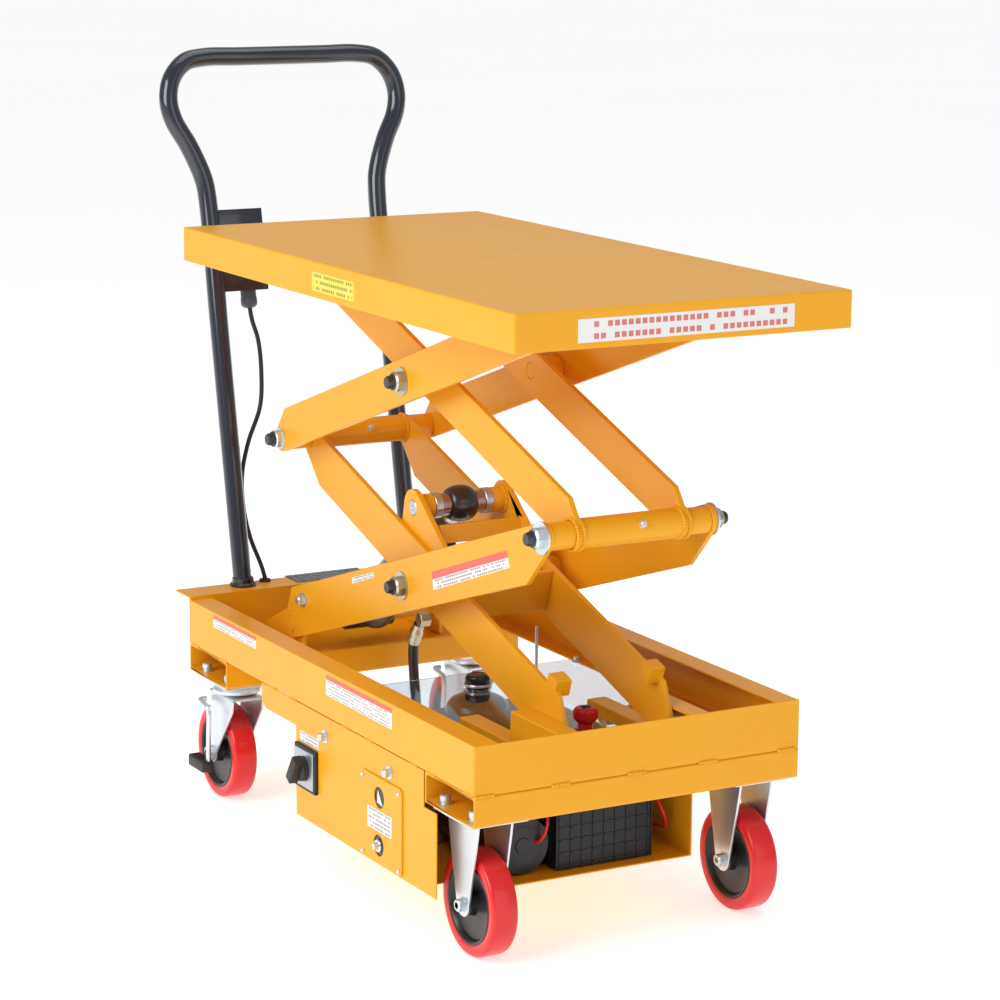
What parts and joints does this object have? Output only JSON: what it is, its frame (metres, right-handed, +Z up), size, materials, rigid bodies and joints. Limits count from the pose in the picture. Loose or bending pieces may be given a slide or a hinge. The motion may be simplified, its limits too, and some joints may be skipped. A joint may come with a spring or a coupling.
{
  "type": "scissor lift table",
  "caption": "Mobile battery-powered double scissor lift table: a load deck raised over a wheeled chassis by crossed arms and a hydraulic cylinder, with a push handle and hand control.",
  "frame": {"origin": "on the floor, under the centre of the whole table's footprint, handle included", "axes": "+Z up; +X from the handle end towards the free front end; +Y to the operator's left, -Y the side with the key switch"},
  "size_m": [1.2605, 0.5503, 1.1732],
  "materials": {
    "yellow_paint": "gloss powder coat",
    "black_tube": "gloss",
    "zinc": "zinc plated",
    "steel": "machined",
    "black_steel": "satin",
    "red_tread": "gloss polyurethane",
    "black_plastic": "matte",
    "red_plastic": "gloss",
    "green_plastic": "gloss",
    "clear_plastic": "clear",
    "tank_plastic": "smoky",
    "black_rubber": "matte"
  },
  "bodies": {
    "chassis": {"rear_cross_member": "yellow_paint", "side_rail_right": "yellow_paint", "side_rail_left": "yellow_paint", "front_cross_plate": "yellow_paint", "front_caster_channel": "yellow_paint", "rear_caster_channel": "yellow_paint", "roller_track_right": "yellow_paint", "roller_track_left": "yellow_paint", "power_tray": "yellow_paint", "switch_panel": "yellow_paint", "clear_cover": "clear_plastic", "battery": "black_plastic", "pump_motor": "black_plastic", "oil_tank": "tank_plastic", "push_handle": "black_tube", "control_box": "black_plastic", "control_cable": "black_rubber", "hydraulic_hose": "black_rubber", "front_caster_fork_right": "zinc", "front_caster_fork_left": "zinc", "rear_caster_plate_right": "zinc", "rear_caster_plate_left": "zinc", "chassis_pivot_pin_right": "zinc", "chassis_pivot_pin_left": "zinc"},
    "lower_outer_arms": {"lower_outer_arm_right": "yellow_paint", "lower_outer_arm_left": "yellow_paint", "lower_middle_pin_right": "zinc", "lower_middle_pin_left": "zinc"},
    "lower_inner_arms": {"lower_inner_arm_right": "yellow_paint", "lower_inner_arm_left": "yellow_paint", "arm_cross_plate": "yellow_paint", "rear_link_shaft": "yellow_paint", "cylinder_bracket": "yellow_paint", "cylinder_rod_pin": "zinc"},
    "upper_outer_arms": {"upper_outer_arm_right": "yellow_paint", "upper_outer_arm_left": "yellow_paint", "upper_middle_pin_right": "zinc", "upper_middle_pin_left": "zinc"},
    "upper_inner_arms": {"upper_inner_arm_right": "yellow_paint", "upper_inner_arm_left": "yellow_paint", "front_link_shaft": "yellow_paint"},
    "deck": {"load_deck": "yellow_paint"},
    "rod": {"piston_rod": "black_steel"},
    "barrel": {"cylinder_barrel": "black_steel"},
    "front_wheel_right": {"front_wheel_right": "red_tread"},
    "rear_swivel_right": {"rear_caster_fork_right": "zinc"},
    "rear_wheel_right": {"rear_wheel_right": "red_tread"},
    "brake_right": {"brake_pedal_right": "zinc"},
    "chassis_roller_right": {"chassis_roller_right": "steel"},
    "deck_roller_right": {"deck_roller_right": "steel"},
    "front_wheel_left": {"front_wheel_left": "red_tread"},
    "rear_swivel_left": {"rear_caster_fork_left": "zinc"},
    "rear_wheel_left": {"rear_wheel_left": "red_tread"},
    "brake_left": {"brake_pedal_left": "zinc"},
    "chassis_roller_left": {"chassis_roller_left": "steel"},
    "deck_roller_left": {"deck_roller_left": "steel"},
    "stop_button": {"emergency_stop_button": "red_plastic"},
    "isolator": {"isolator_knob": "black_plastic"},
    "raise_button": {"raise_button": "green_plastic"},
    "lower_button": {"lower_button": "red_plastic"}
  },
  "joints": [
    {"name": "lift", "type": "hinge", "parent": "chassis", "child": "lower_outer_arms", "pos_m": [-0.3074, 0.0146, 0.29], "axis": [0, -1, 0], "range_deg": [-13.85, 19.75]},
    {"name": "lower_middle_pivot", "type": "hinge", "parent": "lower_outer_arms", "child": "lower_inner_arms", "pos_m": [0.07351, 0.0146, 0.43052], "axis": [0, -1, 0], "range_deg": [-39.52, 27.72]},
    {"name": "rear_link_pivot", "type": "hinge", "parent": "lower_inner_arms", "child": "upper_outer_arms", "pos_m": [-0.33742, 0.0146, 0.58212], "axis": [0, -1, 0], "range_deg": [-27.72, 39.52]},
    {"name": "upper_middle_pivot", "type": "hinge", "parent": "upper_outer_arms", "child": "upper_inner_arms", "pos_m": [0.07351, 0.0146, 0.73372], "axis": [0, -1, 0], "range_deg": [-39.52, 27.72]},
    {"name": "deck_pivot", "type": "hinge", "parent": "upper_inner_arms", "child": "deck", "pos_m": [-0.33742, 0.0146, 0.88532], "axis": [0, -1, 0], "range_deg": [-13.87, 19.77]},
    {"name": "rod_pivot", "type": "hinge", "parent": "lower_inner_arms", "child": "rod", "pos_m": [0.0036, 0.0146, 0.529], "axis": [0, -1, 0], "range_deg": [-26.64, 37.99]},
    {"name": "cylinder_stroke", "type": "slide", "parent": "rod", "child": "barrel", "axis": [-0.7929, 0, -0.6093], "range_m": [-0.05541, 0.07893]},
    {"name": "front_wheel_spin_right", "type": "hinge", "parent": "chassis", "child": "front_wheel_right", "pos_m": [0.4581, -0.196, 0.075], "axis": [0, -1, 0], "continuous": true},
    {"name": "rear_swivel_right", "type": "hinge", "parent": "chassis", "child": "rear_swivel_right", "pos_m": [-0.3464, -0.196, 0.18], "axis": [0, 0, 1], "continuous": true},
    {"name": "rear_wheel_spin_right", "type": "hinge", "parent": "rear_swivel_right", "child": "rear_wheel_right", "pos_m": [-0.3864, -0.196, 0.075], "axis": [0, -1, 0], "continuous": true},
    {"name": "brake_right", "type": "hinge", "parent": "rear_swivel_right", "child": "brake_right", "pos_m": [-0.3934, -0.24, 0.161], "axis": [0, 1, 0], "range_deg": [0, 12]},
    {"name": "chassis_roller_spin_right", "type": "hinge", "parent": "lower_inner_arms", "child": "chassis_roller_right", "pos_m": [0.45441, -0.0884, 0.29], "axis": [0, -1, 0], "continuous": true},
    {"name": "deck_roller_spin_right", "type": "hinge", "parent": "upper_outer_arms", "child": "deck_roller_right", "pos_m": [0.48443, -0.1334, 0.88532], "axis": [0, -1, 0], "continuous": true},
    {"name": "front_wheel_spin_left", "type": "hinge", "parent": "chassis", "child": "front_wheel_left", "pos_m": [0.4581, 0.2252, 0.075], "axis": [0, -1, 0], "continuous": true},
    {"name": "rear_swivel_left", "type": "hinge", "parent": "chassis", "child": "rear_swivel_left", "pos_m": [-0.3464, 0.2252, 0.18], "axis": [0, 0, 1], "continuous": true},
    {"name": "rear_wheel_spin_left", "type": "hinge", "parent": "rear_swivel_left", "child": "rear_wheel_left", "pos_m": [-0.3864, 0.2252, 0.075], "axis": [0, -1, 0], "continuous": true},
    {"name": "brake_left", "type": "hinge", "parent": "rear_swivel_left", "child": "brake_left", "pos_m": [-0.3934, 0.1812, 0.161], "axis": [0, 1, 0], "range_deg": [0, 12]},
    {"name": "chassis_roller_spin_left", "type": "hinge", "parent": "lower_inner_arms", "child": "chassis_roller_left", "pos_m": [0.45441, 0.1176, 0.29], "axis": [0, -1, 0], "continuous": true},
    {"name": "deck_roller_spin_left", "type": "hinge", "parent": "upper_outer_arms", "child": "deck_roller_left", "pos_m": [0.48443, 0.1626, 0.88532], "axis": [0, -1, 0], "continuous": true},
    {"name": "emergency_stop_press", "type": "slide", "parent": "chassis", "child": "stop_button", "axis": [0, 0, -1], "range_m": [0, 0.006]},
    {"name": "isolator_turn", "type": "hinge", "parent": "chassis", "child": "isolator", "pos_m": [0.0186, -0.2474, 0.157], "axis": [0, -1, 0], "range_deg": [0, 90]},
    {"name": "raise_press", "type": "slide", "parent": "chassis", "child": "raise_button", "axis": [0.9806, 0, 0.1961], "range_m": [0, 0.004], "stiffness_N_per_m": 400},
    {"name": "lower_press", "type": "slide", "parent": "chassis", "child": "lower_button", "axis": [0.9806, 0, 0.1961], "range_m": [0, 0.004], "stiffness_N_per_m": 400}
  ],
  "couplings": [
    {"joint": "lower_middle_pivot", "follows": "lift", "ratio": -2},
    {"joint": "rear_link_pivot", "follows": "lift", "ratio": 2},
    {"joint": "upper_middle_pivot", "follows": "lift", "ratio": -2},
    {"joint": "deck_pivot", "follows": "lift", "ratio": 1},
    {"joint": "rod_pivot", "follows": "lift", "ratio": 1.9223},
    {"joint": "cylinder_stroke", "follows": "lift", "m_per_rad": 0.2284}
  ]
}
